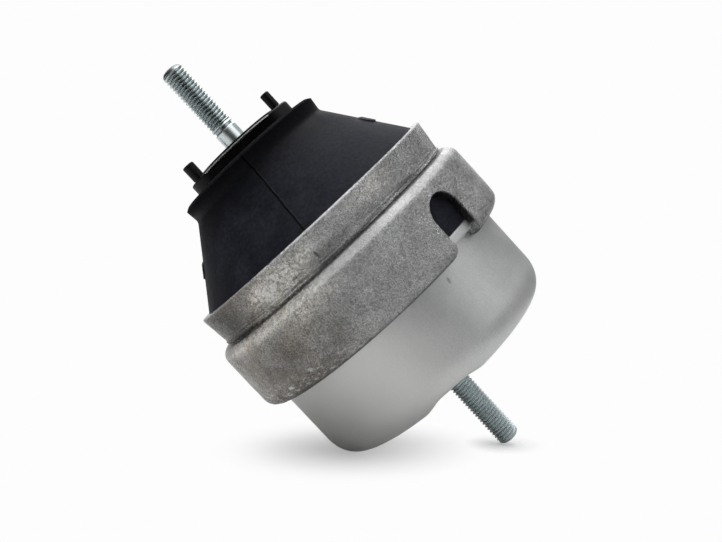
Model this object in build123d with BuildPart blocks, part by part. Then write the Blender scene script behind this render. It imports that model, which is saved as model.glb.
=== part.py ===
"""Hydraulic engine mount: a rubber cone and a fluid can in a cast housing, with a stud at each end.

Millimetres. Z runs up the mount's axis from the pot's underside, X runs through the two locating
pins, and -Y is the front, where the rubber's mould seam is. Every section is drawn at +X, as
(radius, height, corner rounding).
"""
import os
from math import cos, radians, sin

from build123d import *

# Studs, M8 at both ends; the fine thread isn't cut
stud_radius = 4.0
stud_head_radius = 6.5
stud_head_height = 4.6
stud_tip_chamfer = 0.9
press_neck_radius = 4.4
press_neck_foot = 0.3
lower_stud_tip = -34.1
upper_stud_tip = 134.0
upper_collar_top = 107.5
thread_relief_depth = 0.6
thread_relief_length = 1.2

# Pot, a drawn can
pot_radius = 45.1
pot_wall = 2.4
pot_corner_in = 7.0
pot_corner_up = 9.5
flange_radius = 47.9
flange_bottom = 32.7
flange_top = 36.0
channel_depth = 2.0
channel_floor_half_width = 4.0
channel_half_width = 13.0

# Cast housing: the upper band, the skirt and the edge rolled in under the pot's flange
skirt_radius = 51.5
skirt_rounding = 3.8
skirt_bottom = 30.1
skirt_top = 54.75
skirt_bore = 48.0
lip_bore = 45.5
step_height = 52.2
throat_radius = 43.9
throat_top = 63.0
band_foot_radius = 46.95
band_top_radius = 48.4
band_mouth_radius = 45.2
housing_top = 66.7
ledge_height = 56.3
ledge_width = 0.35

# Window in the skirt, an arch that is open at the bottom
window_angle = 43.0
window_width = 13.4
window_top = 48.5
window_foot_rounding = 3.0

# Rubber cone, core and the steel ring that holds it in the housing
rim_radius = 27.7
rim_foot_radius = 27.2
rim_bottom = 91.3
rim_top = 96.3
plate_seat = 97.3
seat_radius = 21.0
sleeve_thickness = 0.6
seam_half_width = 0.4
seam_height = 0.3
pad_length = 18.0
pad_width = 4.8
pad_height = 0.55
pad_centre = 78.4
core_top_radius = 15.0
core_foot_radius = 11.0
core_foot = 62.0
ring_outer_radius = skirt_bore - 0.1 - sleeve_thickness
ring_wall = 1.0
ring_shoulder = 51.5
ring_collar_radius = 42.6
ring_collar_top = 62.0
washer_radius = 17.0
washer_thickness = 1.8

# Top plate, disc and locating pins
plate_length = 42.0
plate_width = 16.0
plate_top = 101.2
disc_radius = 16.0
disc_top = 101.7
pin_offset = 17.2
pin_top = 107.5
wide_pin_radius = 2.15
narrow_pin_radius = 1.65
pins = ((-pin_offset, wide_pin_radius), (pin_offset, narrow_pin_radius))
pin_shank_step = 0.25
pin_notch_gap = 0.25

# Stack between the two fluid chambers, clamped between the pot's flange and the rubber's lip
stack_radius = 46.2
clamp_ring_top = 37.2
bead_top = 39.2
track_split = 44.2
stack_top = 48.0
track_inner_radius = 33.0
track_outer_radius = 39.5
track_depth = 3.0
track_sweep = 300.0
pocket_radius = 24.0
pocket_half_depth = 1.0
membrane_radius = 23.5
membrane_thickness = 1.8
grille_hole_radius = 3.6
grille_circle_radius = 13.0
grille_count = 6
port_radius = 2.6

# Bellows
bellows_wall = 1.6
bellows_outer_radius = 41.5
bellows_floor = 18.2
bellows_crown = 31.4
bellows_crown_radius = 19.2
bellows_valley_radius = 27.6

# Plate under the lower stud's head
backing_radius = 12.0
backing_thickness = 1.8

floor_top = pot_wall + channel_depth


def half_section(*corners):
    """Closed half section from (radius, height, corner rounding)."""
    with BuildSketch(Plane.XZ) as section:
        with BuildLine():
            points = [(radius, height) for radius, height, _ in corners]
            FilletPolyline(*points, radius=[rounding for _, _, rounding in corners], close=True)
        make_face()
    return section.sketch


def washer_section(bore, radius, bottom, top, rounding=0.0):
    """Half section of a flat ring."""
    return half_section(
        (bore, bottom, 0), (radius, bottom, rounding), (radius, top, rounding), (bore, top, 0)
    )


def channel_section(lift):
    """Section of the channel pressed across the pot's base, open downwards, raised by lift."""
    slope_middle = (channel_half_width + channel_floor_half_width) / 2
    with BuildSketch(Plane.XZ) as section:
        with BuildLine():
            Spline(
                (-channel_half_width, lift),
                (-slope_middle, lift + channel_depth / 2),
                (-channel_floor_half_width, lift + channel_depth),
                tangents=((1, 0), (1, 0)),
            )
            Line(
                (-channel_floor_half_width, lift + channel_depth),
                (channel_floor_half_width, lift + channel_depth),
            )
            Spline(
                (channel_floor_half_width, lift + channel_depth),
                (slope_middle, lift + channel_depth / 2),
                (channel_half_width, lift),
                tangents=((1, 0), (1, 0)),
            )
            Polyline(
                (channel_half_width, lift),
                (channel_half_width, lift - pot_wall - 1),
                (-channel_half_width, lift - pot_wall - 1),
                (-channel_half_width, lift),
            )
        make_face()
    return section.sketch


# Cast housing, with its window
with BuildPart() as cast_housing:
    band_slope = (band_top_radius - band_foot_radius) / (housing_top - skirt_top)
    ledge_radius = band_foot_radius + band_slope * (ledge_height - skirt_top)
    revolve(
        half_section(
            (band_mouth_radius, housing_top, 0.3),
            (band_top_radius, housing_top, 0.9),
            (ledge_radius, ledge_height, 0),
            (ledge_radius + ledge_width, ledge_height, 0.15),
            (band_foot_radius, skirt_top, 0.5),
            (skirt_radius, skirt_top, skirt_rounding),
            (skirt_radius, skirt_bottom, skirt_rounding),
            (lip_bore, skirt_bottom, 0.8),
            (lip_bore, flange_bottom, 0),
            (skirt_bore, flange_bottom, 0.3),
            (skirt_bore, step_height, 0.6),
            (throat_radius, step_height, 0.6),
            (throat_radius, throat_top, 2.0),
        ),
        axis=Axis.Z,
    )
    outward = (sin(radians(window_angle)), -cos(radians(window_angle)), 0)
    sideways = (cos(radians(window_angle)), sin(radians(window_angle)), 0)
    window_plane = Plane(origin=(0, 0, 0), x_dir=sideways, z_dir=outward)
    arch_centre = window_top - window_width / 2
    with BuildSketch(window_plane.offset(lip_bore - 3)) as window:
        with Locations((0, arch_centre)):
            Circle(window_width / 2)
            Rectangle(window_width, arch_centre - skirt_bottom, align=(Align.CENTER, Align.MAX))
        with Locations((0, skirt_bottom)):
            Rectangle(2 * window_width, 4, align=(Align.CENTER, Align.MAX))
        feet = window.vertices().sort_by_distance((0, skirt_bottom, 0))[:2]
        fillet(feet, radius=window_foot_rounding)
    extrude(amount=skirt_radius - lip_bore + 6, mode=Mode.SUBTRACT)

# Steel ring that the rubber is bonded to
with BuildPart() as insert_ring:
    revolve(
        half_section(
            (ring_outer_radius - ring_wall, flange_top, 0),
            (ring_outer_radius, flange_top, 0),
            (ring_outer_radius, ring_shoulder, 0.8),
            (ring_collar_radius, ring_shoulder, 0.5),
            (ring_collar_radius, ring_collar_top, 0.3),
            (ring_collar_radius - ring_wall, ring_collar_top, 0.3),
            (ring_collar_radius - ring_wall, ring_shoulder - ring_wall, 0.4),
            (ring_outer_radius - ring_wall, ring_shoulder - ring_wall, 0.3),
        ),
        axis=Axis.Z,
    )

# Core inside the rubber
with BuildPart() as inner_core:
    revolve(
        half_section(
            (press_neck_radius, core_foot, 0),
            (core_foot_radius, core_foot, 1.0),
            (core_top_radius - 1.8, rim_bottom - 1.5, 2.0),
            (core_top_radius, plate_seat - 2.5, 1.0),
            (core_top_radius, plate_seat, 0),
            (press_neck_radius, plate_seat, 0),
        ),
        axis=Axis.Z,
    )

# Long low pads moulded on the cone at both ends of the X axis
with BuildPart() as side_pads:
    cone_run = band_mouth_radius - rim_foot_radius
    cone_rise = rim_bottom - housing_top
    slope = Vector(cone_rise, cone_run).normalized() * pad_height
    revolve(
        half_section(
            (rim_foot_radius - 1, rim_bottom, 0),
            (rim_foot_radius + slope.X, rim_bottom + slope.Y, 0),
            (band_mouth_radius + slope.X, housing_top + slope.Y, 0),
            (band_mouth_radius - 1, housing_top, 0),
        ),
        axis=Axis.Z,
    )
    with BuildSketch(Plane.YZ):
        with Locations((0, pad_centre)):
            SlotOverall(pad_length, pad_width)
    extrude(amount=skirt_radius, both=True, mode=Mode.INTERSECT)

# Rubber cone: rim, cone, the sleeve inside the skirt, and the lip that seals the fluid
with BuildPart() as rubber_spring:
    revolve(
        half_section(
            (core_foot_radius - 3, core_foot + 2, 0),
            (core_foot_radius + 1.8, core_foot + 2, 0.6),
            (core_foot_radius + 5.8, rim_bottom - 8.8, 2.2),
            (ring_collar_radius - ring_wall - 1.6, ring_shoulder + 5.5, 3.0),
            (ring_collar_radius - ring_wall - 1.3, stack_top, 0.6),
            (ring_outer_radius - ring_wall / 2, stack_top, 0),
            (ring_outer_radius - ring_wall / 2, flange_top, 0),
            (ring_outer_radius + sleeve_thickness, flange_top, 0),
            (ring_outer_radius + sleeve_thickness, step_height, 0.6),
            (throat_radius, step_height, 0.6),
            (throat_radius, throat_top, 2.0),
            (band_mouth_radius, housing_top, 0),
            (rim_foot_radius, rim_bottom, 2.0),
            (rim_radius, rim_top, 0.3),
            (seat_radius, plate_seat, 0),
            (core_foot_radius - 3, plate_seat, 0),
        ),
        axis=Axis.Z,
    )
    # Mould seam down the front and the back
    with BuildSketch(Plane.YZ):
        with BuildLine():
            Polyline(
                (rim_radius - 2, rim_top - 1),
                (rim_radius + seam_height, rim_top - 1),
                (rim_foot_radius + seam_height, rim_bottom),
                (band_mouth_radius + seam_height, housing_top + 0.1),
                (band_mouth_radius - 3, housing_top + 0.1),
                (rim_foot_radius - 2, rim_bottom),
                close=True,
            )
        make_face()
    seam = extrude(amount=seam_half_width, both=True)
    mirror(seam, about=Plane.XZ)
    add(side_pads.part)
    # Core and ring are bonded in
    add(inner_core.part, mode=Mode.SUBTRACT)
    add(insert_ring.part, mode=Mode.SUBTRACT)

# Top plate, the disc on it and the two pins through it
with BuildPart() as top_plate:
    with BuildSketch(Plane.XY.offset(plate_seat)):
        SlotOverall(plate_length, plate_width)
        Circle(stud_radius, mode=Mode.SUBTRACT)
        for centre, radius in pins:
            with Locations((centre, 0)):
                Circle(radius - pin_shank_step, mode=Mode.SUBTRACT)
    extrude(amount=plate_top - plate_seat)
    rim = top_plate.faces().sort_by(Axis.Z)[-1].outer_wire().edges()
    fillet(rim, radius=0.8)

with BuildPart() as top_disc:
    revolve(washer_section(stud_radius, disc_radius, plate_top, disc_top, 0.2), axis=Axis.Z)
    for centre, radius in pins:
        with Locations((centre, 0, disc_top)):
            Cylinder(radius + pin_notch_gap, 4, mode=Mode.SUBTRACT)


def locating_pin(centre, radius):
    """Round pin with a rounded tip. Its thinner shank ends level with the disc, so a bracket seats flat."""
    with BuildPart() as pin:
        with BuildSketch(Plane.XY.offset(plate_seat)):
            with Locations((centre, 0)):
                Circle(radius - pin_shank_step)
        extrude(amount=disc_top - plate_seat)
        with BuildSketch(Plane.XY.offset(disc_top)):
            with Locations((centre, 0)):
                Circle(radius)
        extrude(amount=pin_top - disc_top)
        fillet(pin.edges().sort_by(Axis.Z)[-1], radius=0.5)
    return pin


locating_pin_wide, locating_pin_narrow = [locating_pin(centre, radius) for centre, radius in pins]

# Upper stud, its head under the core and a plain collar under the thread
with BuildPart() as upper_stud:
    head_top = core_foot - washer_thickness
    relief_radius = stud_radius - thread_relief_depth
    revolve(
        half_section(
            (0, head_top - stud_head_height, 0),
            (stud_head_radius, head_top - stud_head_height, 0.8),
            (stud_head_radius, head_top, 0),
            (press_neck_radius, head_top, 0),
            (press_neck_radius, plate_seat, 0),
            (stud_radius, plate_seat, 0),
            (stud_radius, upper_collar_top - thread_relief_depth / 2, 0),
            (relief_radius, upper_collar_top, 0),
            (relief_radius, upper_collar_top + thread_relief_length / 2, 0),
            (stud_radius, upper_collar_top + thread_relief_length, 0),
            (stud_radius, upper_stud_tip - stud_tip_chamfer, 0),
            (stud_radius - stud_tip_chamfer, upper_stud_tip, 0),
            (0, upper_stud_tip, 0),
        ),
        axis=Axis.Z,
    )

with BuildPart() as rebound_washer:
    revolve(
        washer_section(press_neck_radius, washer_radius, core_foot - washer_thickness, core_foot, 0.4),
        axis=Axis.Z,
    )

# Pot: outside, pressed channel, then the inside with the same channel standing up from its floor
with BuildPart() as pot_cavity:
    with BuildSketch(Plane.XZ):
        with BuildLine():
            inner_radius = pot_radius - pot_wall
            corner_in = pot_corner_in - pot_wall
            corner_up = pot_corner_up - pot_wall
            Polyline(
                (inner_radius, pot_wall + corner_up),
                (inner_radius, flange_top),
                (0, flange_top),
                (0, pot_wall),
                (inner_radius - corner_in, pot_wall),
            )
            EllipticalCenterArc(
                (inner_radius - corner_in, pot_wall + corner_up), corner_in, corner_up, -90, arc_size=90
            )
        make_face()
    revolve(axis=Axis.Z)
    extrude(channel_section(pot_wall), amount=pot_radius, both=True, mode=Mode.SUBTRACT)

with BuildPart() as pot:
    with BuildSketch(Plane.XZ):
        with BuildLine():
            Polyline(
                (pot_radius, pot_corner_up),
                (pot_radius, flange_bottom),
                (flange_radius, flange_bottom),
                (flange_radius, flange_top),
                (0, flange_top),
                (0, 0),
                (pot_radius - pot_corner_in, 0),
            )
            EllipticalCenterArc(
                (pot_radius - pot_corner_in, pot_corner_up), pot_corner_in, pot_corner_up, -90, arc_size=90
            )
        make_face()
    revolve(axis=Axis.Z)
    fillet(pot.edges().filter_by(GeomType.CIRCLE).group_by(SortBy.RADIUS)[-1], radius=0.7)
    extrude(channel_section(0), amount=pot_radius + 1, both=True, mode=Mode.SUBTRACT)
    add(pot_cavity.part, mode=Mode.SUBTRACT)
    Cylinder(press_neck_radius, 4 * floor_top, mode=Mode.SUBTRACT)

with BuildPart() as backing_plate:
    revolve(
        washer_section(
            press_neck_radius, backing_radius, floor_top, floor_top + backing_thickness, 0.3
        ),
        axis=Axis.Z,
    )

with BuildPart() as lower_stud:
    head_bottom = floor_top + backing_thickness
    revolve(
        half_section(
            (0, head_bottom + stud_head_height, 0),
            (stud_head_radius, head_bottom + stud_head_height, 0.8),
            (stud_head_radius, head_bottom, 0),
            (press_neck_radius, head_bottom, 0),
            (press_neck_radius, press_neck_foot, 0),
            (stud_radius, press_neck_foot, 0),
            (stud_radius, lower_stud_tip + stud_tip_chamfer, 0),
            (stud_radius - stud_tip_chamfer, lower_stud_tip, 0),
            (0, lower_stud_tip, 0),
        ),
        axis=Axis.Z,
    )

# Bellows, a thin rolling diaphragm with a bead, and the ring under the bead
with BuildPart() as bellows:
    valley_shift = 0.9
    revolve(
        half_section(
            (0, bellows_crown, 0),
            (bellows_crown_radius, bellows_crown, 2.4),
            (bellows_valley_radius, bellows_floor, 4.0),
            (bellows_outer_radius, bellows_floor, 5.6),
            (bellows_outer_radius, clamp_ring_top, 0),
            (stack_radius, clamp_ring_top, 0),
            (stack_radius, bead_top, 0),
            (bellows_outer_radius - bellows_wall, bead_top, 0.5),
            (bellows_outer_radius - bellows_wall, bellows_floor + bellows_wall, 4.0),
            (bellows_valley_radius + valley_shift, bellows_floor + bellows_wall, 2.4),
            (bellows_crown_radius + valley_shift, bellows_crown + bellows_wall, 4.0),
            (0, bellows_crown + bellows_wall, 0),
        ),
        axis=Axis.Z,
    )

with BuildPart() as bellows_ring:
    revolve(
        washer_section(pot_radius - pot_wall, stack_radius, flange_top, clamp_ring_top),
        axis=Axis.Z,
    )

# Track plates: a ring-shaped fluid track round a pocket for the membrane
with BuildPart() as track_plate_lower:
    revolve(washer_section(0, stack_radius, bead_top, track_split, 0.3), axis=Axis.Z)
    revolve(
        washer_section(
            track_inner_radius, track_outer_radius, track_split - track_depth, track_split
        ),
        axis=Axis.Z,
        revolution_arc=track_sweep,
        mode=Mode.SUBTRACT,
    )
    with BuildSketch(Plane.XY.offset(track_split)):
        Circle(pocket_radius)
    extrude(amount=-pocket_half_depth, mode=Mode.SUBTRACT)
    with BuildSketch(Plane.XY.offset(track_split)):
        with PolarLocations(grille_circle_radius, grille_count):
            Circle(grille_hole_radius)
        with PolarLocations((track_inner_radius + track_outer_radius) / 2, 1, start_angle=8):
            Circle(port_radius)
    extrude(amount=bead_top - track_split, mode=Mode.SUBTRACT)

with BuildPart() as track_plate_upper:
    revolve(washer_section(0, stack_radius, track_split, stack_top, 0.3), axis=Axis.Z)
    with BuildSketch(Plane.XY.offset(track_split)):
        Circle(pocket_radius)
    extrude(amount=pocket_half_depth, mode=Mode.SUBTRACT)
    with BuildSketch(Plane.XY.offset(track_split)):
        with PolarLocations(grille_circle_radius, grille_count):
            Circle(grille_hole_radius)
        track_end = track_sweep - 8
        with PolarLocations((track_inner_radius + track_outer_radius) / 2, 1, start_angle=track_end):
            Circle(port_radius)
    extrude(amount=stack_top - track_split, mode=Mode.SUBTRACT)

with BuildPart() as decoupler_membrane:
    with BuildSketch(Plane.XY.offset(track_split - pocket_half_depth)):
        Circle(membrane_radius)
    extrude(amount=membrane_thickness)
    fillet(decoupler_membrane.edges(), radius=0.5)

pieces = {
    "cast_housing": cast_housing,
    "pot": pot,
    "rubber_spring": rubber_spring,
    "inner_core": inner_core,
    "insert_ring": insert_ring,
    "top_plate": top_plate,
    "top_disc": top_disc,
    "locating_pin_wide": locating_pin_wide,
    "locating_pin_narrow": locating_pin_narrow,
    "upper_stud": upper_stud,
    "rebound_washer": rebound_washer,
    "lower_stud": lower_stud,
    "backing_plate": backing_plate,
    "bellows": bellows,
    "bellows_ring": bellows_ring,
    "track_plate_lower": track_plate_lower,
    "track_plate_upper": track_plate_upper,
    "decoupler_membrane": decoupler_membrane,
}

os.makedirs("parts", exist_ok=True)
for name, piece in pieces.items():
    piece.part.label = name
    export_step(piece.part, f"parts/{name}.step")
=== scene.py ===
import math

import bmesh
import bpy
import numpy as np
from mathutils import Matrix, Vector, noise


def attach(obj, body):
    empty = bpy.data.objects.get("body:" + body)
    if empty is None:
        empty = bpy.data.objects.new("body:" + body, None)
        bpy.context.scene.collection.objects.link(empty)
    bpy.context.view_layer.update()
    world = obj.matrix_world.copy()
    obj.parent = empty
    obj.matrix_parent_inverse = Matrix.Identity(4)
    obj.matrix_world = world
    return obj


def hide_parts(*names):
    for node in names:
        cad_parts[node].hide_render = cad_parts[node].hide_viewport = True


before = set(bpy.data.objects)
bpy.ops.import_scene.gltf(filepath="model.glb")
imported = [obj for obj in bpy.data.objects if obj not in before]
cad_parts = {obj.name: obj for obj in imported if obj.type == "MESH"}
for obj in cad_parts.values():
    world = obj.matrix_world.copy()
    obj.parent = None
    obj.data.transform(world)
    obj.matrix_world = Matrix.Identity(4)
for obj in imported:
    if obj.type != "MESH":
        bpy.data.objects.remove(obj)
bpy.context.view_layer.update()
scene = bpy.context.scene
scene.view_settings.view_transform = "Standard"
mm = 0.001
up = Vector((0, 0, 1))
print("frame loaded,", len(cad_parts), "nodes")

# Camera, as the photograph was taken: close, a little above, and turned so that the mount leans over
cameraSetup = {
    "distance": 350 * mm,
    "height": 75.4 * mm,
    "turn": math.radians(4.0),  # round the mount's axis, from the front
    "pitch": math.radians(5.33),
    "yaw": math.radians(0.19),
    "lean": math.radians(42.84),  # of the mount's axis in the picture
    "lens": 52.36,
}
viewRight = Vector((math.cos(cameraSetup["turn"]), math.sin(cameraSetup["turn"]), 0))
viewAway = up.cross(viewRight)


def makeCamera(setup):
    forward = viewAway * math.cos(setup["pitch"]) - up * math.sin(setup["pitch"])
    forward = (forward + viewRight * math.tan(setup["yaw"])).normalized()
    levelRight = forward.cross(up).normalized()
    levelUp = levelRight.cross(forward)
    imageRight = levelRight * math.cos(setup["lean"]) - levelUp * math.sin(setup["lean"])
    imageUp = imageRight.cross(forward)
    turned = Matrix((imageRight, imageUp, -forward)).transposed()
    camera = bpy.data.objects.new("camera", bpy.data.cameras.new("camera"))
    camera.data.lens = setup["lens"]
    camera.data.clip_start = 0.01
    place = up * setup["height"] - viewAway * setup["distance"]
    camera.matrix_world = Matrix.Translation(place) @ turned.to_4x4()
    scene.collection.objects.link(camera)
    scene.camera = camera


makeCamera(cameraSetup)


# Materials: small helpers first, then one function for each finish
def newMaterial(name, **sockets):
    material = bpy.data.materials.new(name)
    material.use_nodes = True
    tree = material.node_tree
    tree.nodes.clear()
    out = tree.nodes.new("ShaderNodeOutputMaterial")
    shader = tree.nodes.new("ShaderNodeBsdfPrincipled")
    tree.links.new(shader.outputs["BSDF"], out.inputs["Surface"])
    for label, value in sockets.items():
        shader.inputs[label.replace("_", " ")].default_value = value
    return material, tree, shader


def feed(tree, shader, **sockets):
    for label, value in sockets.items():
        tree.links.new(value, shader.inputs[label.replace("_", " ")])


def setSocket(tree, socket, value):
    if isinstance(value, bpy.types.NodeSocket):
        tree.links.new(value, socket)
    else:
        socket.default_value = value


def calc(tree, operation, *values):
    node = tree.nodes.new("ShaderNodeMath")
    node.operation = operation
    for socket, value in zip(node.inputs, values):
        setSocket(tree, socket, value)
    return node.outputs[0]


def product(tree, first, *others):
    for value in others:
        first = calc(tree, "MULTIPLY", first, value)
    return first


def opposite(tree, value):
    return calc(tree, "SUBTRACT", 1.0, value)


def mixNumbers(tree, amount, first, second):
    return calc(tree, "ADD", first, product(tree, amount, calc(tree, "SUBTRACT", second, first)))


def objectPlace(tree, centre=(0, 0, 0), turn=(0, 0, 0), size=(1, 1, 1)):
    coordinate = tree.nodes.new("ShaderNodeTexCoord")
    mapping = tree.nodes.new("ShaderNodeMapping")
    mapping.vector_type = "TEXTURE"
    mapping.inputs["Location"].default_value = centre
    mapping.inputs["Rotation"].default_value = turn
    mapping.inputs["Scale"].default_value = size
    tree.links.new(coordinate.outputs["Object"], mapping.inputs["Vector"])
    return mapping.outputs["Vector"]


# The place on the object as three sockets, X, Y and Z
def places(tree):
    node = tree.nodes.new("ShaderNodeSeparateXYZ")
    tree.links.new(objectPlace(tree), node.inputs[0])
    return node.outputs


def lengthOf(tree, vector):
    node = tree.nodes.new("ShaderNodeVectorMath")
    node.operation = "LENGTH"
    tree.links.new(vector, node.inputs[0])
    return node.outputs["Value"]


# Distance from the mount's axis: the height is squeezed to nothing
def fromAxis(tree):
    return lengthOf(tree, objectPlace(tree, size=(1, 1, 1e6)))


def grain(tree, size, detail, roughness, stretch=(1, 1, 1)):
    texture = tree.nodes.new("ShaderNodeTexNoise")
    texture.inputs["Scale"].default_value = 1 / size
    texture.inputs["Detail"].default_value = detail
    texture.inputs["Roughness"].default_value = roughness
    tree.links.new(objectPlace(tree, size=stretch), texture.inputs["Vector"])
    return texture.outputs["Fac"]


def spread(tree, value, low, high, fromLow=0.0, fromHigh=1.0, smooth=True):
    node = tree.nodes.new("ShaderNodeMapRange")
    node.interpolation_type = "SMOOTHSTEP" if smooth else "LINEAR"
    for socket, number in zip(node.inputs[1:5], (fromLow, fromHigh, low, high)):
        socket.default_value = number
    tree.links.new(value, node.inputs["Value"])
    return node.outputs["Result"]


def pattern(tree, texture, values, smooth=True):
    return spread(tree, grain(tree, *texture), *values, smooth=smooth)


# From low to high while a distance goes from near to far, in mm
def fade(tree, distance, low, high, near, far):
    return spread(tree, distance, low, high, near * mm, far * mm)


# 1 between two edges, 0 outside; each edge is a pair of distances in mm
def between(tree, distance, rise, fall):
    return product(tree, fade(tree, distance, 0, 1, *rise), fade(tree, distance, 1, 0, *fall))


def blend(tree, amount, first, second, mode="MIX"):
    node = tree.nodes.new("ShaderNodeMix")
    node.data_type = "RGBA"
    node.blend_type = mode
    setSocket(tree, node.inputs["Factor"], amount)
    for label, colour in (("A", first), ("B", second)):
        socket = [item for item in node.inputs if item.name == label and item.type == "RGBA"][0]
        setSocket(tree, socket, colour if isinstance(colour, bpy.types.NodeSocket) else (*colour, 1))
    return [item for item in node.outputs if item.type == "RGBA"][0]


def scaled(tree, colour, gain):
    node = tree.nodes.new("ShaderNodeVectorMath")
    node.operation = "SCALE"
    tree.links.new(colour, node.inputs[0])
    tree.links.new(gain, node.inputs["Scale"])
    return node.outputs[0]


def patch(tree, centre, size, turn=(0, 0, 0), edge=0.5):
    away = lengthOf(tree, objectPlace(tree, centre, turn, size))
    return spread(tree, away, 1, 0, 1 - edge, 1 + edge)


# Point on the mount, by its angle from the front towards +X, radius and height in mm
def roundAxis(angle, radius, height):
    turn = math.radians(angle)
    return (radius * math.sin(turn) * mm, -radius * math.cos(turn) * mm, height * mm)


# Patch on the wall at an angle and height, with its half width and half height in mm
def wallPatch(tree, angle, height, wide, high, radius, edge):
    size = (wide * mm, wide * mm, high * mm)
    return patch(tree, roundAxis(angle, radius, height), size, (0, 0, math.radians(angle)), edge)


# One bump on another; relief holds the distance and strength for each texture
def bumps(tree, shader, textures, relief, gain=None):
    normal = None
    for texture, (distance, strength) in zip(textures, relief):
        node = tree.nodes.new("ShaderNodeBump")
        node.inputs["Distance"].default_value = distance
        setSocket(tree, node.inputs["Strength"], product(tree, gain, strength) if gain else strength)
        tree.links.new(texture, node.inputs["Height"])
        if normal:
            tree.links.new(normal, node.inputs["Normal"])
        normal = node.outputs["Normal"]
    tree.links.new(normal, shader.inputs["Normal"])


# In every finish a texture is its size, detail, roughness and stretch, and a range is two values and
# where they are reached: in the texture, or at a place in mm. A pattern is a texture with its range.
castSetup = {
    "base": (0.285, 0.284, 0.282),
    # Warm left and cool right: tints, with painted shade on the left and painted light on the right
    "warmShaded": (0.88, 0.80, 0.715),
    "coolLit": (1.37, 1.39, 1.40),
    "wornAndHighlit": (0.85, 0.855, 0.86),
    "rubbedAndHighlitTint": (1.12, 1.07, 1.0),
    "rubbedAndHighlitShare": 0.7,
    "dentColour": (0.05, 0.05, 0.05),
    # Colour of the painted shade
    "paintedShade": (0.012, 0.012, 0.012),
    "blotch": (9 * mm, 4, 0.55),
    "lumps": (1.9 * mm, 3, 0.55),
    "fine": (0.46 * mm, 3, 0.62),
    "relief": ((0.9 * mm, 0.6), (0.5 * mm, 0.5), (0.8 * mm, 1.0)),
    "fineTone": (0.60, 1.46, 0.35, 0.65),
    "leftContrast": (1.0, 1.3),
    "lumpTone": (0.95, 1.05, 0.34, 0.66),
    "blotchTone": (0.84, 1.14, 0.34, 0.66),
    "roughness": (0.22, 0.34, 0.3, 0.7),
    "patterns": {
        "lines": ((0.5 * mm, 1, 0.5, (40, 40, 1)), (-0.55, 0.5, 0.35, 0.65)),
        "ragged": ((1.6 * mm, 5, 0.8), (0.3, 1, 0.40, 0.55)),
        "mottled": ((7 * mm, 3, 0.6), (0.6, 1, 0.38, 0.58)),
        "scuffs": ((1.2 * mm, 5, 0.8, (2.2, 2.2, 1)), (0, 1, 0.535, 0.60)),
        "uneven": ((12 * mm, 3, 0.5), (0.65, 1.0, 0.35, 0.62)),
    },
    # Ranges over X
    "across": {
        "left": (1, 0, -34, 10),
        "calmLeft": (1, 0.3, -43, -36),
        "calmMiddle": (0.3, 1, -18, 0),
        "calmRight": (1, 0.4, 34, 47),
        "rimLeft": (0.2, 1, -16, -2),
        "rimRight": (1, 0.2, 14, 28),
    },
    # Zones, by the heights between which they rise and fall
    "zones": {
        "shoulder": ((51.4, 52.6), (54.9, 55.3)),
        "crevice": ((54.5, 54.8), (55.1, 55.6)),
        "lined": ((54.9, 55.4), (56.4, 59.0)),
        "scuffed": ((30.9, 31.6), (33.0, 39.0)),
        "cut": ((33.0, 34.5), (49.5, 51.0)),
    },
    # Ranges over the height, and over the distance from the axis for the window's cut faces; the underside
    # and the cut faces get painted shade
    "underside": (0.75, 0, 30.5, 31.2),
    "rim": (0, 1, 66.0, 66.35),
    "cutDepth": (0.93, 0, 50.3, 51.0),
    # The smooth shoulder: gain of its painted highlight, how far it hides the grain, Metallic and share of
    # the bumps left
    "shoulder": (2.0, 0.7, 0.25, 0.75),
    "crevice": 0.7,  # shade under the band
    # Angle from the front, height, half width, half height, gain in brightness; the bright ones are wear
    # and painted highlight, the dark ones stains and painted shade
    "rubbedAndHighlit": [
        (-18, 61.0, 14.0, 4.8, 1.25), (-25, 61.2, 9.0, 3.6, 0.5), (-14, 49.6, 11.0, 2.8, 0.8),
        (-38, 53.4, 22.0, 2.6, 1.5), (29, 63.0, 9.0, 2.6, 0.6),
    ],
    "stainedAndShaded": [
        (-62, 61.0, 16.0, 8.0, -0.72), (1, 58.0, 9.0, 2.4, -0.4), (-58, 55.7, 20.0, 0.8, -0.8),
        (6, 43.0, 12.0, 8.0, -0.1),
    ],
    # The same, with the strength of the dark colour at the end
    "dents": [(-2.2, 59.0, 0.4, 2.0, 0.8), (-13, 58.5, 2.0, 0.35, 0.5), (-30, 40.0, 0.5, 1.2, 0.5)],
    # Radius at which they stand, and the softness of their edges
    "marks": {"radius": 48.5, "edge": 0.6},
    "dentMarks": {"radius": 47.6, "edge": 0.5},
}


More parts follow.
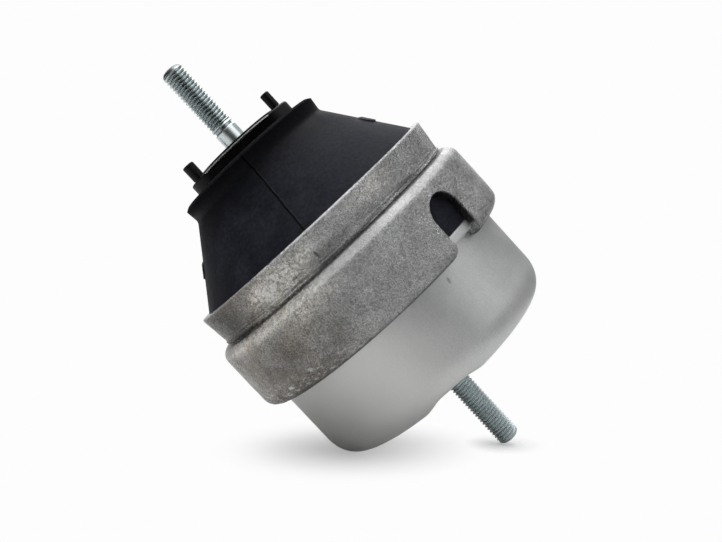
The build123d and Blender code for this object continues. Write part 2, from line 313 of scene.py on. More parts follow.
def castFinish(setup):
    material, tree, shader = newMaterial("cast aluminium")
    textures = blotch, lumps, fine = [grain(tree, *setup[name]) for name in ("blotch", "lumps", "fine")]
    spot = places(tree)
    across = {name: fade(tree, spot["X"], *values) for name, values in setup["across"].items()}
    zones = {name: between(tree, spot["Z"], *edges) for name, edges in setup["zones"].items()}
    patterns = {name: pattern(tree, *parts) for name, parts in setup["patterns"].items()}
    # The shoulder is smooth and carries a painted highlight, less so at the far right and on a stretch at
    # the left
    shoulderHighlightGain, hidden, shoulderMetallic, bumpsLeft = setup["shoulder"]
    stretch = calc(tree, "MAXIMUM", across["calmLeft"], across["calmMiddle"])
    smoothHighlitShoulder = product(tree, zones["shoulder"], across["calmRight"], stretch)
    # Grains: dark pits and bright tops, with more contrast on the left, on slow changes of tone
    tone = spread(tree, fine, *setup["fineTone"], smooth=False)
    tone = product(
        tree, calc(tree, "POWER", tone, spread(tree, across["left"], *setup["leftContrast"])),
        spread(tree, blotch, *setup["blotchTone"]), spread(tree, lumps, *setup["lumpTone"]),
    )
    tone = mixNumbers(tree, product(tree, smoothHighlitShoulder, hidden), tone, shoulderHighlightGain)
    tone = product(tree, tone, opposite(tree, product(tree, zones["crevice"], setup["crevice"])))
    # Fine lines turned into the foot of the band
    lines = product(tree, patterns["lines"], zones["lined"])
    tone = product(tree, tone, calc(tree, "ADD", 1.0, lines))
    # Places rubbed bright with ragged edges, partly wear and partly painted highlight, or darkened, partly
    # stains and partly painted shade; the grain stays in them
    rubbedAndHighlit = 0.0
    for *place, gain in setup["rubbedAndHighlit"] + setup["stainedAndShaded"]:
        mark = wallPatch(tree, *place, **setup["marks"])
        if gain > 0:
            mark = product(tree, mark, patterns["ragged"])
            rubbedAndHighlit = calc(tree, "MAXIMUM", rubbedAndHighlit, mark)
        tone = product(tree, tone, calc(tree, "ADD", 1.0, product(tree, mark, gain)))
    # Mottled warm with painted shade on the left, cool with painted light on the right
    warmShadedShare = product(tree, across["left"], patterns["mottled"])
    side = blend(tree, warmShadedShare, setup["coolLit"], setup["warmShaded"])
    side = blend(tree, product(tree, rubbedAndHighlit, setup["rubbedAndHighlitShare"]), side, setup["rubbedAndHighlitTint"])
    colour = scaled(tree, blend(tree, 1.0, side, setup["base"], "MULTIPLY"), tone)
    # Scuffs along the bottom edge, painted shade on the underside, and the top edge worn and given a
    # painted highlight
    scuff = product(tree, patterns["scuffs"], zones["scuffed"], across["left"])
    colour = blend(tree, scuff, colour, setup["wornAndHighlit"])
    colour = blend(tree, fade(tree, spot["Z"], *setup["underside"]), colour, setup["paintedShade"])
    # The top edge is worn and given a painted highlight, which fades out to the left and right
    rim = product(tree, fade(tree, spot["Z"], *setup["rim"]), across["rimLeft"], across["rimRight"])
    colour = blend(tree, rim, colour, setup["wornAndHighlit"])
    for *place, strength in setup["dents"]:
        mark = wallPatch(tree, *place, **setup["dentMarks"])
        colour = blend(tree, product(tree, mark, strength), colour, setup["dentColour"])
    # The window's cut faces are darkened with painted shade
    cutFace = product(tree, fade(tree, fromAxis(tree), *setup["cutDepth"]), zones["cut"])
    dull = calc(tree, "MAXIMUM", rim, smoothHighlitShoulder)
    feed(
        tree, shader,
        Base_Color=blend(tree, cutFace, colour, setup["paintedShade"]),
        Metallic=spread(tree, dull, 1.0, shoulderMetallic, smooth=False),
        Roughness=spread(tree, lumps, *setup["roughness"]),
    )
    uneven = product(tree, patterns["uneven"], spread(tree, smoothHighlitShoulder, 1.0, bumpsLeft, smooth=False))
    bumps(tree, shader, textures, setup["relief"], uneven)
    return material


potPaint = {
    "left": (0.66, 0.668, 0.645),
    "right": (0.52, 0.533, 0.54),
    "across": (0, 1, -18, 22),  # range over X, from the left colour to the right one; the left one is lighter as painted light
    "cloud": (13 * mm, 4, 0.6),
    "drawn": (0.6 * mm, 2, 0.5, (1, 1, 26)),
    "speckle": (0.45 * mm, 3, 0.65),
    "shares": (0.4, 0.1, 0.5),  # of these three in the frost
    "relief": ((0.2 * mm, 0.25), (0.02 * mm, 0.35), (0.05 * mm, 0.6)),
    "frost": (0.72, 0.72, 0.70),
    "frosted": (0.0, 0.7, 0.38, 0.66),
    "roughness": (0.44, 0.54, 0.3, 0.7),
    "scratch": (0.14, 0.14, 0.14),
    "scratchShare": 0.55,
    "scratchPlace": (27.9, 45.1, 26.7),  # angle, radius and height
    "scratchSize": (0.5 * mm, 0.5 * mm, 1.9 * mm),
    "scratchTurn": (0.3, 0.35, 0),
}


def potFinish(setup):
    material, tree, shader = newMaterial("drawn aluminium", Metallic=0.7)
    # Painted light: the left side gets the lighter colour
    across = fade(tree, places(tree)["X"], *setup["across"])
    colour = blend(tree, across, setup["left"], setup["right"])
    textures = [grain(tree, *setup[name]) for name in ("cloud", "drawn", "speckle")]
    cloud, drawn, speckle = [product(tree, *pair) for pair in zip(textures, setup["shares"])]
    frost = calc(tree, "ADD", calc(tree, "ADD", cloud, speckle), drawn)
    colour = blend(tree, spread(tree, frost, *setup["frosted"]), colour, setup["frost"])
    scratch = patch(tree, roundAxis(*setup["scratchPlace"]), setup["scratchSize"], setup["scratchTurn"])
    colour = blend(tree, product(tree, scratch, setup["scratchShare"]), colour, setup["scratch"])
    feed(tree, shader, Base_Color=colour, Roughness=spread(tree, textures[0], *setup["roughness"]))
    bumps(tree, shader, textures, setup["relief"])
    return material


rubberPaint = {
    "dark": (0.0140, 0.0150, 0.0208),
    "light": (0.0238, 0.0250, 0.0345),
    "dust": (0.05, 0.05, 0.055),
    "cloud": (8 * mm, 4, 0.6),
    "speckle": (0.45 * mm, 2, 0.6),
    "relief": ((0.2 * mm, 0.4), (0.12 * mm, 0.7)),
    "dusty": (0, 0.5, 0.66, 0.8),
    "roughness": (0.5, 0.62, 0.3, 0.7),
    "mottled": ((1.1 * mm, 3, 0.6), (0.72, 1.28, 0.32, 0.68)),
    # Share of the colour left: painted shade over the rim, at the mould's seams and on the left
    "rimShade": (1, 0.22, 79, 95),
    "seamShade": (0.3, 1, 0.22, 0.52),
    "leftShade": (0.5, 1, -44, -22),
    "rimRough": (0, 0.3, 92, 95.6),
}


# Clouds between a dark and a light tone, with their texture and that of the speckle
def twoTones(tree, setup):
    cloud, speckle = grain(tree, *setup["cloud"]), grain(tree, *setup["speckle"])
    colour = blend(tree, spread(tree, cloud, 0, 1, 0.3, 0.7), setup["dark"], setup["light"])
    return cloud, speckle, colour


def rubberFinish(setup):
    material, tree, shader = newMaterial("black rubber", Metallic=0.0, Specular_IOR_Level=0.05)
    cloud, speckle, colour = twoTones(tree, setup)
    colour = blend(tree, spread(tree, speckle, *setup["dusty"]), colour, setup["dust"])
    spot = places(tree)
    # Painted shade on the rim, at the seams and on the left, with a random mottle
    shade = product(
        tree, fade(tree, spot["Z"], *setup["rimShade"]),
        fade(tree, calc(tree, "ABSOLUTE", spot["X"]), *setup["seamShade"]),
        fade(tree, spot["X"], *setup["leftShade"]), pattern(tree, *setup["mottled"], smooth=False),
    )
    rough = spread(tree, cloud, *setup["roughness"])
    rough = calc(tree, "ADD", rough, fade(tree, spot["Z"], *setup["rimRough"]))
    feed(tree, shader, Base_Color=scaled(tree, colour, shade), Roughness=rough)
    bumps(tree, shader, (cloud, speckle), setup["relief"])
    return material


coatedPaint = {
    "name": "black coating",
    "dark": (0.0018, 0.0018, 0.002),
    "light": (0.004, 0.004, 0.0043),
    "metallic": 0.0,
    "specular": 0.2,
    "roughness": (0.4, 0.52, 0.3, 0.7),
    "cloud": (5 * mm, 4, 0.6),
    "speckle": (0.35 * mm, 2, 0.6),
    "relief": ((0.03 * mm, 0.5),),
}
# The disc's underside and the foot of its edge are pale grey
discPaint = {**coatedPaint, "paleFoot": (0.60, 0.60, 0.60), "paleBelow": (1, 0, 101.0, 101.12)}
# Hidden pieces: name, dark and light tone, Metallic, lowest and highest roughness, size of the clouds
hiddenPaints = {
    "steel": ("rolled steel", (0.30, 0.30, 0.31), (0.42, 0.42, 0.43), 0.9, 0.38, 0.48, 6 * mm),
    "core": ("core casting", (0.40, 0.40, 0.40), (0.52, 0.52, 0.51), 0.7, 0.5, 0.6, 4 * mm),
    "plastic": ("track moulding", (0.05, 0.05, 0.055), (0.075, 0.075, 0.08), 0.0, 0.42, 0.52, 9 * mm),
}


def hiddenPaint(name, dark, light, metallic, low, high, size):
    return {
        "name": name, "dark": dark, "light": light, "metallic": metallic, "specular": 0.5,
        "roughness": (low, high, 0.3, 0.7), "cloud": (size, 4, 0.6), "speckle": (0.4 * mm, 2, 0.6),
        "relief": ((0.04 * mm, 0.5),),
    }


def plainFinish(setup):
    look = {"Metallic": setup["metallic"], "Specular_IOR_Level": setup["specular"]}
    material, tree, shader = newMaterial(setup["name"], **look)
    cloud, speckle, colour = twoTones(tree, setup)
    if "paleFoot" in setup:
        paleFoot = fade(tree, places(tree)["Z"], *setup["paleBelow"])
        colour = blend(tree, paleFoot, colour, setup["paleFoot"])
    feed(tree, shader, Base_Color=colour, Roughness=spread(tree, cloud, *setup["roughness"]))
    bumps(tree, shader, [speckle], setup["relief"])
    return material


platingSetup = {
    "cloud": (3 * mm, 4, 0.6),
    "clouded": (0.3, 1, 0.2, 0.8),
    "speckle": (0.3 * mm, 2, 0.6),
    "relief": ((0.03 * mm, 0.25), (0.003 * mm, 0.3)),
    "middle": 50 * mm,  # height of the point from which both tips are 84 mm away
    "tips": (0, 1, 81.8, 83),  # range over the distance from it
}
upperPlating = {
    **platingSetup,
    "name": "bright zinc",
    "tint": (0.50, 0.545, 0.55),
    "dark": (0.36, 0.405, 0.41),
    "sides": (1.35, 1.75, 0.2, 2.8),  # gain, as a range over X: painted light, paler on the right
    "metallic": 1.0,
    "roughness": (0.26, 0.34, 0.3, 0.7),
    "rootShade": (0.5, 0, 3.35, 3.8),  # range over the distance from the axis
    "tipShade": 0.8,
}
lowerPlating = {
    **platingSetup,
    "name": "blue zinc",
    "tint": (0.61, 0.69, 0.705),
    "dark": (0.45, 0.52, 0.535),
    # Painted shade: the left side darker
    "sides": (0.72, 1.2, -3.2, -0.8),
    "metallic": 0.55,
    "roughness": (0.42, 0.5, 0.3, 0.7),
    "rootShade": (0.25, 0, 3.35, 3.8),
    "tipShade": 0.3,
}


def platedFinish(setup):
    material, tree, shader = newMaterial(setup["name"], Metallic=setup["metallic"])
    cloud, speckle = grain(tree, *setup["cloud"]), grain(tree, *setup["speckle"])
    colour = blend(tree, spread(tree, cloud, *setup["clouded"]), setup["dark"], setup["tint"])
    spot = places(tree)
    # Painted shade in the roots of the thread and on the tip
    fromMiddle = calc(tree, "ABSOLUTE", calc(tree, "SUBTRACT", spot["Z"], setup["middle"]))
    tip = fade(tree, fromMiddle, *setup["tips"])
    root = product(tree, fade(tree, fromAxis(tree), *setup["rootShade"]), opposite(tree, tip))
    paintedShade = calc(tree, "MAXIMUM", root, product(tree, tip, setup["tipShade"]))
    # Painted light: one side paler than the other
    gain = product(tree, fade(tree, spot["X"], *setup["sides"]), opposite(tree, paintedShade))
    rough = spread(tree, cloud, *setup["roughness"])
    feed(tree, shader, Base_Color=scaled(tree, colour, gain), Roughness=rough)
    bumps(tree, shader, (cloud, speckle), setup["relief"])
    return material


finishes = {
    "cast": castFinish(castSetup),
    "pot": potFinish(potPaint),
    "rubber": rubberFinish(rubberPaint),
    "coated": plainFinish(coatedPaint),
    "coatedDisc": plainFinish(discPaint),
    "plated": platedFinish(upperPlating),
    "platedBlue": platedFinish(lowerPlating),
}
for finish, paint in hiddenPaints.items():
    finishes[finish] = plainFinish(hiddenPaint(*paint))
print("materials made:", ", ".join(finishes))


# Mesh helpers: points along a line with rounded corners, from the radius, height and rounding of each
def roundedLine(corners, longest, closed=True):
    points = []
    count = len(corners)
    for index, (radius, height, rounding) in enumerate(corners):
        here = np.array((radius, height), float)
        if rounding == 0 or (not closed and index in (0, count - 1)):
            points.append(here)
            continue
        before = np.array(corners[index - 1][:2]) - here
        after = np.array(corners[(index + 1) % count][:2]) - here
        before = before / np.linalg.norm(before)
        after = after / np.linalg.norm(after)
        half = math.acos(np.clip(before @ after, -1, 1)) / 2
        reach = rounding / math.tan(half)
        middle = (before + after) / np.linalg.norm(before + after)
        centre = here + middle * rounding / math.sin(half)
        start, end = here + before * reach - centre, here + after * reach - centre
        first, last = math.atan2(start[1], start[0]), math.atan2(end[1], end[0])
        sweep = (last - first + math.pi) % (2 * math.pi) - math.pi
        steps = max(2, math.ceil(abs(sweep) / math.radians(14)))
        for step in range(steps + 1):
            angle = first + sweep * step / steps
            points.append(centre + rounding * np.array((math.cos(angle), math.sin(angle))))
    line = []
    last = len(points) if closed else len(points) - 1
    for index in range(last):
        here, there = points[index], points[(index + 1) % len(points)]
        pieces = max(1, math.ceil(np.linalg.norm(there - here) / longest))
        line += [here + (there - here) * part / pieces for part in range(pieces)]
    if not closed:
        line.append(points[-1])
    return np.array(line)


def evenAngles(count):
    return np.arange(count) * 2 * math.pi / count


# Mesh of a section turned about the axis; shape(turn, radius, height) may change every point
def turnedMesh(name, line, angles, closed=True, shape=None):
    turn, radius = np.meshgrid(angles, line[:, 0], indexing="ij")
    height = np.broadcast_to(line[:, 1], radius.shape)
    if shape:
        radius, height = shape(turn, radius, height)
    points = np.stack((radius * np.cos(turn), radius * np.sin(turn), height), -1) * mm
    columns, rows = radius.shape
    index = np.arange(columns * rows).reshape(columns, rows)
    beside = np.roll(index, -1, 0)
    above = np.roll(index, -1, 1), np.roll(beside, -1, 1)
    quads = np.stack((index, beside, above[1], above[0]), -1)
    if not closed:
        quads = quads[:, :-1]
    mesh = bpy.data.meshes.new(name)
    mesh.from_pydata(points.reshape(-1, 3).tolist(), [], quads.reshape(-1, 4).tolist())
    return closeMesh(mesh)


def closeMesh(mesh, gap=1e-7):
    work = bmesh.new()
    work.from_mesh(mesh)
    bmesh.ops.remove_doubles(work, verts=work.verts, dist=gap)
    bmesh.ops.dissolve_degenerate(work, dist=gap, edges=work.edges)
    bmesh.ops.recalc_face_normals(work, faces=work.faces)
    work.to_mesh(mesh)
    openEdges = sum(1 for edge in work.edges if len(edge.link_faces) != 2)
    if openEdges:
        print("  open edges left in", mesh.name, openEdges)
    work.free()
    return mesh


def joinMeshes(name, meshes):
    work = bmesh.new()
    for mesh in meshes:
        work.from_mesh(mesh)
    joined = bpy.data.meshes.new(name)
    work.to_mesh(joined)
    work.free()
    return joined


def addPiece(name, mesh, finish, node, sharp=32):
    mesh.polygons.foreach_set("use_smooth", [True] * len(mesh.polygons))
    mesh.set_sharp_from_angle(angle=math.radians(sharp))
    mesh.materials.clear()
    mesh.materials.append(finishes[finish])
    piece = bpy.data.objects.new(name, mesh)
    scene.collection.objects.link(piece)
    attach(piece, "root")
    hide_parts(node)
    print(name, "made,", len(mesh.polygons), "faces")


# Cast housing: turned section, a rough skin, the ledge at the junction, then the window
housingSetup = {
    # Radius, height and rounding of each corner
    "section": [
        (45.2, 66.7, 0.3), (48.4, 66.7, 0.6),  # top of the band
        (47.138075, 56.3, 0.12), (47.488075, 56.2, 0.12), (47.488075, 55.6, 0.12),  # ledge at its foot
        (46.95, 54.9, 0.25), (51.5, 54.75, 3.8), (51.5, 30.1, 3.8),  # shoulder and skirt
        (45.5, 30.1, 0.8), (45.5, 32.7, 0), (48.0, 32.7, 0.3),  # edge rolled in under the pot's flange
        (48.0, 52.2, 0.6), (43.9, 52.2, 0.6), (43.9, 63.0, 2.0),  # inside
    ],
    "spacing": 1.1,
    "skirtRadius": 51.5,
    "skirtBottom": 30.1,
    "lipBore": 45.5,
    "roughness": 0.10,
    "waves": ((0.13, 1.0), (0.42, 0.6), (1.1, 0.5)),  # of the skin: how close and how high
    "windowAngle": 43.0,
    "windowWidth": 13.4,
    "windowTop": 48.5,
    "windowFeet": (3.0, 1.0),  # rounding at the left and the right foot
    "windowEdge": 0.35,
    "windowDepth": 3.2,
    "archSteps": 32,
    "footSteps": 8,
    "edgeSteps": 5,
    "columns": 432,
}


def roughSkin(setup):
    def shape(turn, radius, height):
        spots = np.stack((radius * np.cos(turn), radius * np.sin(turn), height), -1)
        radius = radius.copy()
        for place in np.ndindex(radius.shape):
            spot = Vector(spots[place])
            wave = sum(high * noise.noise(spot * close) for close, high in setup["waves"])
            radius[place] -= setup["roughness"] * (1 + wave)
        return radius, height
    return shape


def windowOutline(setup):
    half, bottom = setup["windowWidth"] / 2, setup["skirtBottom"]
    centre = setup["windowTop"] - half
    arch = []
    for step in range(setup["archSteps"] + 1):
        angle = math.pi * step / setup["archSteps"]
        arch.append((-half * math.cos(angle), centre + half * math.sin(angle)))
    sides = []
    for foot in setup["windowFeet"]:
        side = [(half, centre - 2), (half, bottom + foot + 1)]
        for step in range(setup["footSteps"] + 1):
            angle = math.pi / 2 * step / setup["footSteps"]
            side.append((half + foot - foot * math.cos(angle), bottom + foot - foot * math.sin(angle)))
        side += [(half + foot + 0.4, bottom - 0.3), (half + foot + 0.4, bottom - 3)]
        sides.append(side)
    left = [(-side, height) for side, height in reversed(sides[0])]
    return np.array(left + arch + sides[1])


# Solid with the window's outline, flared where it meets the skirt, so that the edge is rounded
def windowCutter(setup):
    outline = windowOutline(setup)
    ahead, behind = np.roll(outline, -1, 0), np.roll(outline, 1, 0)
    along = ahead - behind
    along /= np.linalg.norm(along, axis=1)[:, None]
    out = np.stack((-along[:, 1], along[:, 0]), -1)
    edge = setup["windowEdge"]
    skin = setup["skirtRadius"] - setup["roughness"]
    rows = [(setup["lipBore"] - 4, 0.0), (skin - setup["windowDepth"], 0.0)]
    for step in range(setup["edgeSteps"] + 1):
        angle = math.pi / 2 * step / setup["edgeSteps"]
        rows.append((skin - edge + edge * math.sin(angle), edge * (1 - math.cos(angle))))
    rows.append((skin + 2, edge * 1.6))
    middle = math.radians(setup["windowAngle"] - 90)
    radius, reach = np.array(rows).T[:, :, None]
    side, height = outline[:, 0] + out[:, 0] * reach, outline[:, 1] + out[:, 1] * reach
    angle = middle + np.arcsin(side / radius)
    points = np.stack((radius * np.cos(angle), radius * np.sin(angle), height), -1) * mm
    index = np.arange(side.size).reshape(side.shape)
    beside = np.roll(index, -1, 1)
    quads = np.stack((index[:-1], beside[:-1], beside[1:], index[1:]), -1)
    faces = quads.reshape(-1, 4).tolist() + [index[0].tolist(), index[-1].tolist()]
    mesh = bpy.data.meshes.new("window cutter")
    mesh.from_pydata(points.reshape(-1, 3).tolist(), [], faces)
    return closeMesh(mesh)


def cutMesh(mesh, cutter):
    body = bpy.data.objects.new("uncut", mesh)
    tool = bpy.data.objects.new("cutter", cutter)
    for item in (body, tool):
        scene.collection.objects.link(item)
    cut = body.modifiers.new("cut", "BOOLEAN")
    cut.operation = "DIFFERENCE"
    cut.solver = "EXACT"
    cut.object = tool
    ready = body.evaluated_get(bpy.context.evaluated_depsgraph_get())
    result = bpy.data.meshes.new_from_object(ready)
    for item in (body, tool):
        bpy.data.objects.remove(item)
    return result


def makeHousing(setup):
    line = roundedLine(setup["section"], setup["spacing"])
    mesh = turnedMesh("housing", line, evenAngles(setup["columns"]), shape=roughSkin(setup))
    mesh = cutMesh(mesh, windowCutter(setup))
    addPiece("housing", closeMesh(mesh), "cast", "cast_housing", sharp=40)


makeHousing(housingSetup)

# Rubber cone: rim, cone, mould seams and pads outside; inside, the thick section that carries the load
rubberSetup = {
    # Radius, height and rounding of the corners, from the foot over the rim to the bore and back inside
    "outside": [
        (45.2, 66.75, 0), (27.2, 91.3, 2.2), (27.75, 95.95, 0.12), (26.45, 96.75, 0.8), (21.0, 97.3, 0),
        (8, 97.3, 0),
    ],
    "inside": [
        (8, 97.3, 0), (8, 64, 0), (12.8, 64, 0.6), (16.8, 82.5, 2.2), (40.0, 57.0, 3.0),
        (40.3, 48.0, 0.6), (46.8, 48.0, 0), (46.8, 36.0, 0), (47.9, 36.0, 0), (47.9, 52.2, 0.6),
        (43.9, 52.2, 0.6), (43.9, 63.0, 2.0), (45.2, 66.75, 0),
    ],
    "outerSpacing": 0.42,
    "innerSpacing": 3.0,
    "mouldedFrom": 66.85,  # heights between which the seams and the pads stand
    "mouldedTo": 95.75,
    "seamGroove": (0.0, 0.42, 0.34),  # place, half width and depth
    "seamLip": (0.58, 0.28, 0.17),
    "seamWander": ((0.09, 0.9, 0), (0.06, 2.3, 1)),  # waves: height, frequency and start
    "padCentre": 78.4,
    "padLength": 18.0,
    "padWidth": 4.8,
    "padHeight": 0.62,
    "padEdge": 0.45,
    "coarseSteps": 210,
    # Columns stand closer at the seams and the pads: half the width and the step, in degrees
    "seamColumns": (2.0, 0.13),
    "padColumns": (16, 0.5),
}


def smoothStep(value):
    value = np.clip(value, 0, 1)
    return value * value * (3 - 2 * value)


def rubberShape(setup, outerCount):
    def shape(turn, radius, height):
        outer = np.zeros(radius.shape, bool)
        outer[:, :outerCount] = True
        outer &= (height > setup["mouldedFrom"]) & (height < setup["mouldedTo"])
        lift = np.zeros(radius.shape)
        wander = sum(high * np.sin(height * often + start) for high, often, start in setup["seamWander"])
        for seam in (-math.pi / 2, math.pi / 2):
            across = np.angle(np.exp(1j * (turn - seam))) * radius - wander
            for (place, half, depth), sign in ((setup["seamGroove"], -1), (setup["seamLip"], 1)):
                lift += sign * depth * smoothStep(1 - np.abs(across - place) / half)
        side = radius * np.abs(np.sin(turn))
        straight = (setup["padLength"] - setup["padWidth"]) / 2
        away = np.hypot(np.maximum(side - straight, 0), height - setup["padCentre"])
        pad = smoothStep((setup["padWidth"] / 2 - away) / setup["padEdge"]) * setup["padHeight"]
        pad = np.where(np.abs(np.cos(turn)) > 0.7, pad, 0)
        return np.where(outer, radius + lift + pad, radius), height
    return shape


def rubberAngles(setup):
    coarse = evenAngles(setup["coarseSteps"])
    seam, pad = [
        np.radians(np.arange(-half, half + 0.01, step))
        for half, step in (setup["seamColumns"], setup["padColumns"])
    ]
    fine = [seam - math.pi / 2, seam + math.pi / 2, pad, pad + math.pi]
    angles = np.sort(np.concatenate([coarse, *fine]) % (2 * math.pi))
    keep = np.diff(np.append(angles, angles[0] + 2 * math.pi)) > math.radians(0.05)
    return angles[keep]


def makeRubber(setup):
    outer = roundedLine(setup["outside"], setup["outerSpacing"], closed=False)
    inner = roundedLine(setup["inside"], setup["innerSpacing"], closed=False)
    line = np.concatenate((outer[:-1], inner[:-1]))
    shape = rubberShape(setup, len(outer) - 1)
    mesh = turnedMesh("rubber cone", line, rubberAngles(setup), shape=shape)
    addPiece("rubber_cone", mesh, "rubber", "rubber_spring", sharp=40)


makeRubber(rubberSetup)

# Pot: drawn can with its flange and the channel pressed across its base
potSetup = {
    "radius": 45.1,
    "wall": 2.4,
    "cornerIn": 7.0,
    "cornerUp": 9.5,
    # Radius, height and rounding of the corners between the two bends, over the flange
    "side": [
        (45.1, 9.5, 0), (45.1, 32.7, 0.6), (47.9, 32.7, 0.7), (47.9, 36.0, 0.7), (42.7, 36.0, 0),
        (42.7, 9.5, 0),
    ],
    "channelDepth": 2.0,
    "channelFloor": 4.0,
    "channelEdge": 13.0,
    "softness": 1.6,
    "pressedBelow": 12,
    "hole": 4.4,
    "columns": 360,
}


def cornerArc(radius, height, inward, upward, steps=14):
    turns = np.arange(steps + 1) * math.pi / 2 / steps
    across = radius - inward + inward * np.sin(turns)
    return np.stack((across, height + upward - upward * np.cos(turns)), -1)


def potLines(setup):
    radius, wall, cornerIn, cornerUp = [setup[key] for key in ("radius", "wall", "cornerIn", "cornerUp")]
    outside = roundedLine([(setup["hole"], 0, 0), (radius - cornerIn, 0, 0)], 1.1, closed=False)
    corner = cornerArc(radius, 0, cornerIn, cornerUp)
    side = roundedLine(setup["side"], 1.6, closed=False)
    inside = cornerArc(radius - wall, wall, cornerIn - wall, cornerUp - wall)[::-1]
    floor = roundedLine([tuple(inside[-1]) + (0,), (setup["hole"], wall, 0)], 1.6, closed=False)
    outer = np.concatenate((outside[:-1], corner[:-1]))
    return outer, np.concatenate((side[:-1], inside[:-1], floor))


def potShape(setup, outerCount):
    def shape(turn, radius, height):
        away = np.abs(radius * np.cos(turn))
        width = setup["channelEdge"] - setup["channelFloor"]
        channel = setup["channelDepth"] * (1 - smoothStep((away - setup["channelFloor"]) / width))
        level = np.full(radius.shape, setup["wall"])
        level[:, :outerCount] = 0
        floor = level + channel
        soft = np.maximum(setup["softness"] * channel / setup["channelDepth"], 1e-6)
        blended = np.maximum(height, floor) + np.maximum(soft - np.abs(height - floor), 0) ** 2 / (4 * soft)
        return radius, np.where(height < setup["pressedBelow"], blended, height)
    return shape


def makePot(setup):
    outer, rest = potLines(setup)
    line = np.concatenate((outer, rest))
    mesh = turnedMesh("pot", line, evenAngles(setup["columns"]), shape=potShape(setup, len(outer)))
    addPiece("pot_can", mesh, "pot", "pot", sharp=40)


makePot(potSetup)

# Studs: the rolled thread is a Geometry Nodes tree, the plain part is turned
threadSetup = {
    "Pitch": 1.25 * mm,
    "Radius": 4.0 * mm,
    "Depth": 0.74 * mm,
    "Tip Rounding": 2.4 * mm,
    "Run Out": 1.3 * mm,
    "Steps Round": 64,
}
rowsPerTurn = 12


def threadTree():
    tree = bpy.data.node_groups.new("rolled thread", "GeometryNodeTree")
    inputs = {}
    for label, kind in (
        ("Pitch", "NodeSocketFloat"), ("Radius", "NodeSocketFloat"), ("Depth", "NodeSocketFloat"),
        ("Length", "NodeSocketFloat"), ("Tip Rounding", "NodeSocketFloat"), ("Run Out", "NodeSocketFloat"),
        ("Steps Round", "NodeSocketInt"), ("Finish", "NodeSocketMaterial"),
    ):
        inputs[label] = tree.interface.new_socket(label, in_out="INPUT", socket_type=kind).identifier
    tree.interface.new_socket("Geometry", in_out="OUTPUT", socket_type="NodeSocketGeometry")
    start = tree.nodes.new("NodeGroupInput").outputs
    link = tree.links.new

    def step(operation, *values):
        return calc(tree, operation, *values)

    # A grid wound so that its rows follow the helix
    turns = step("DIVIDE", start["Length"], start["Pitch"])
    rows = step("CEIL", step("MULTIPLY", step("ADD", turns, 1.0), rowsPerTurn))
    grid = tree.nodes.new("GeometryNodeMeshGrid")
    grid.inputs["Size X"].default_value = 1
    grid.inputs["Size Y"].default_value = 1
    link(step("ADD", start["Steps Round"], 1.0), grid.inputs["Vertices X"])
    link(step("ADD", rows, 1.0), grid.inputs["Vertices Y"])
    position = tree.nodes.new("GeometryNodeInputPosition")
    apart = tree.nodes.new("ShaderNodeSeparateXYZ")
    link(position.outputs[0], apart.inputs[0])
    around = step("ADD", apart.outputs["X"], 0.5)
    along = step("ADD", apart.outputs["Y"], 0.5)
    raised = step("DIVIDE", step("MULTIPLY", along, rows), rowsPerTurn)
    raised = step("MULTIPLY", step("ADD", step("ADD", raised, around), -1.0), start["Pitch"])
    height = step("MINIMUM", step("MAXIMUM", raised, 0.0), start["Length"])
    # Depth of the groove there, faded out at the foot and on the tip
    wound = step("SUBTRACT", step("DIVIDE", height, start["Pitch"]), around)
    phase = step("FRACT", step("ADD", wound, 8.0))
    ridge = step("ABSOLUTE", step("SUBTRACT", step("MULTIPLY", phase, 2.0), 1.0))
    groove = spread(tree, ridge, 1, 0, 0.05, 0.95, smooth=False)
    left = step("SUBTRACT", start["Length"], height)
    fading = step("MINIMUM", step("DIVIDE", height, start["Run Out"]), 1.0)
    fading = step("MINIMUM", fading, step("DIVIDE", left, step("MULTIPLY", start["Tip Rounding"], 1.2)))
    cut = step("MULTIPLY", step("MULTIPLY", groove, fading), start["Depth"])
    radius = step("SUBTRACT", start["Radius"], cut)
    # Rounded tip
    inside = step("MAXIMUM", step("SUBTRACT", start["Tip Rounding"], left), 0.0)
    squares = step("SUBTRACT", step("POWER", start["Tip Rounding"], 2.0), step("POWER", inside, 2.0))
    limit = step("SUBTRACT", start["Radius"], start["Tip Rounding"])
    limit = step("ADD", limit, step("SQRT", step("MAXIMUM", squares, 0.0)))
    radius = step("MINIMUM", radius, limit)
    # Both ends close on the axis
    notEnd = step("MULTIPLY", step("GREATER_THAN", along, 1e-5), step("LESS_THAN", along, 1 - 1e-5))
    radius = step("MULTIPLY", radius, notEnd)
    angle = step("MULTIPLY", around, 2 * math.pi)
    together = tree.nodes.new("ShaderNodeCombineXYZ")
    link(step("MULTIPLY", radius, step("COSINE", angle)), together.inputs["X"])
    link(step("MULTIPLY", radius, step("SINE", angle)), together.inputs["Y"])
    link(height, together.inputs["Z"])
    move = tree.nodes.new("GeometryNodeSetPosition")
    link(grid.outputs["Mesh"], move.inputs["Geometry"])
    link(together.outputs[0], move.inputs["Position"])
    merge = tree.nodes.new("GeometryNodeMergeByDistance")
    merge.inputs["Distance"].default_value = 2e-6
    link(move.outputs[0], merge.inputs["Geometry"])
    realize = tree.nodes.new("GeometryNodeRealizeInstances")
    link(merge.outputs[0], realize.inputs["Geometry"])
    paint = tree.nodes.new("GeometryNodeSetMaterial")
    link(realize.outputs[0], paint.inputs["Geometry"])
    link(start["Finish"], paint.inputs["Material"])
    end = tree.nodes.new("NodeGroupOutput")
    link(paint.outputs[0], end.inputs[0])
    return tree, inputs


threadNodes, threadInputs = threadTree()


